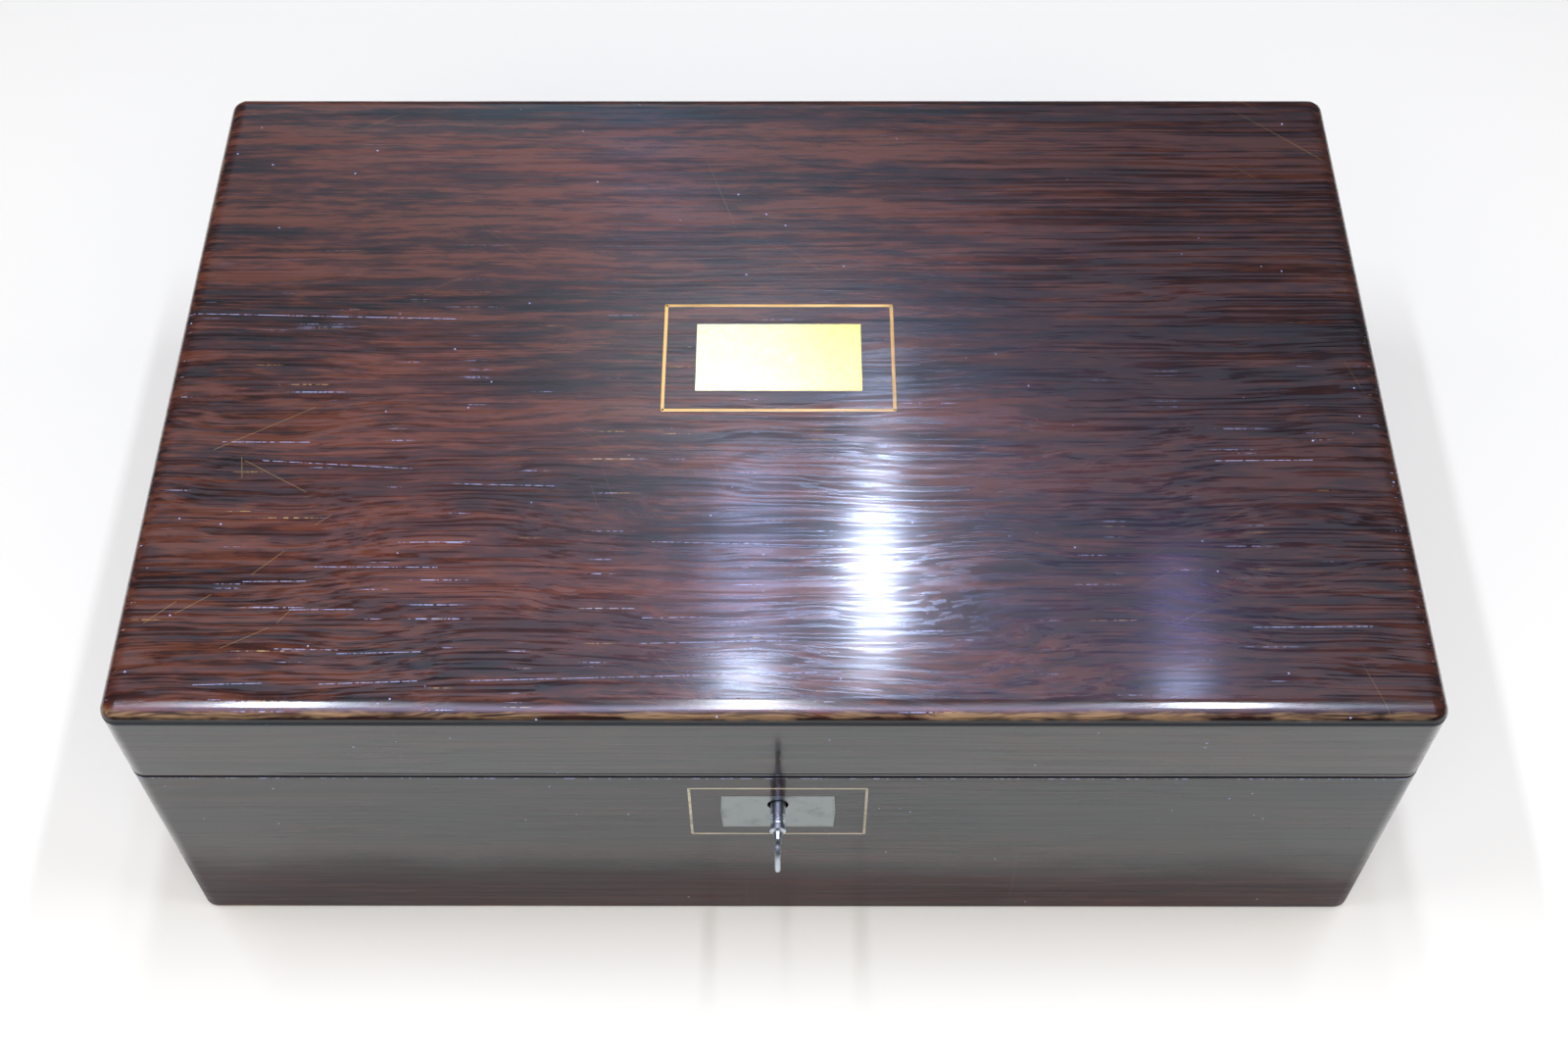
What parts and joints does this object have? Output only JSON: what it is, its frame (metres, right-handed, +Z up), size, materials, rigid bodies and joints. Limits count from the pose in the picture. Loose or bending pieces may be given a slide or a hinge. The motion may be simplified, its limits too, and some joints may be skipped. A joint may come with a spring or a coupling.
{
  "type": "writing slope",
  "caption": "Closed rosewood writing slope with a slanted parting line, inlaid brass plates, boxwood stringing, lock with key, and hinged leather writing flaps over paper wells.",
  "frame": {"origin": "centre of the underside, on the surface that the box stands on", "axes": "+X along the width to the right as seen from the lock side, +Y from the lock to the hinges, +Z up"},
  "size_m": [0.4, 0.2851, 0.136],
  "materials": {
    "rosewood": "French polished rosewood, near mirror gloss with fine pores",
    "mahogany": "thinly waxed inner boards",
    "boxwood": "pale stringing under polish",
    "brass": "polished, slightly dulled",
    "steel": "bright turned steel, darkened in the grooves",
    "leather": "plain skiver, satin",
    "glass": "clear moulded glass"
  },
  "bodies": {
    "base": {"base_bottom": "mahogany", "base_front_wall": "rosewood", "base_back_wall": "rosewood", "base_left_wall": "rosewood", "base_right_wall": "rosewood", "divider_long": "mahogany", "divider_left": "mahogany", "divider_right": "mahogany", "ink_floor_left": "mahogany", "ink_floor_right": "mahogany", "pen_tray": "mahogany", "base_ledger_left": "mahogany", "base_ledger_right": "mahogany", "front_stringing_bottom": "boxwood", "front_stringing_right": "boxwood", "front_stringing_top": "boxwood", "front_stringing_left": "boxwood", "escutcheon_plate": "brass", "hinge_left_base_leaf": "brass", "hinge_right_base_leaf": "brass", "base_flap_fixed_leaf_left": "brass", "base_flap_fixed_leaf_right": "brass", "lock_case": "brass", "inkwell_left": "glass", "inkwell_right": "glass"},
    "lid": {"lid_top_board": "rosewood", "lid_front_wall": "rosewood", "lid_back_wall": "rosewood", "lid_left_wall": "rosewood", "lid_right_wall": "rosewood", "lid_ledger_left": "mahogany", "lid_ledger_right": "mahogany", "lid_ledger_front": "mahogany", "lid_plate": "brass", "lid_stringing_front": "boxwood", "lid_stringing_right": "boxwood", "lid_stringing_back": "boxwood", "lid_stringing_left": "boxwood", "hinge_left_lid_leaf": "brass", "hinge_right_lid_leaf": "brass", "lid_flap_fixed_leaf_left": "brass", "lid_flap_fixed_leaf_right": "brass", "lock_hooks": "brass"},
    "base_flap": {"base_flap_board": "mahogany", "base_flap_leather": "leather", "base_flap_leaf_left": "brass", "base_flap_leaf_right": "brass"},
    "lid_flap": {"lid_flap_board": "mahogany", "lid_flap_leather": "leather", "lid_flap_leaf_left": "brass", "lid_flap_leaf_right": "brass"},
    "key": {"key": "steel"},
    "bolt": {"lock_bolt": "steel"},
    "cap_left": {"inkwell_left_cap": "brass"},
    "cap_right": {"inkwell_right_cap": "brass"}
  },
  "joints": [
    {"name": "lid_hinge", "type": "hinge", "parent": "base", "child": "lid", "pos_m": [0, 0.1303, 0.068], "axis": [-1, 0, 0], "range_deg": [0, 180]},
    {"name": "base_flap_hinge", "type": "hinge", "parent": "base", "child": "base_flap", "pos_m": [0, 0.1186, 0.06669], "axis": [-1, 0, 0], "range_deg": [0, 72]},
    {"name": "lid_flap_hinge", "type": "hinge", "parent": "lid", "child": "lid_flap", "pos_m": [0, 0.1186, 0.07203], "axis": [1, 0, 0], "range_deg": [0, 72]},
    {"name": "key_turn", "type": "hinge", "parent": "base", "child": "key", "pos_m": [0.0011, -0.13, 0.0792], "axis": [0, 1, 0], "range_deg": [0, 360]},
    {"name": "bolt_slide", "type": "slide", "parent": "base", "child": "bolt", "axis": [1, 0, 0], "range_m": [0, 0.003]},
    {"name": "cap_left_turn", "type": "hinge", "parent": "base", "child": "cap_left", "pos_m": [-0.1645, -0.0945, 0.0773], "axis": [0, 0, 1], "range_deg": [0, 360]},
    {"name": "cap_right_turn", "type": "hinge", "parent": "base", "child": "cap_right", "pos_m": [0.1645, -0.0945, 0.0773], "axis": [0, 0, 1], "range_deg": [0, 360]}
  ],
  "couplings": [
    {"joint": "base_flap_hinge", "follows": "lid_hinge", "ratio": 0.4},
    {"joint": "lid_flap_hinge", "follows": "lid_hinge", "ratio": 0.4},
    {"joint": "key_turn", "follows": "bolt_slide", "rad_per_m": 2094.3}
  ]
}
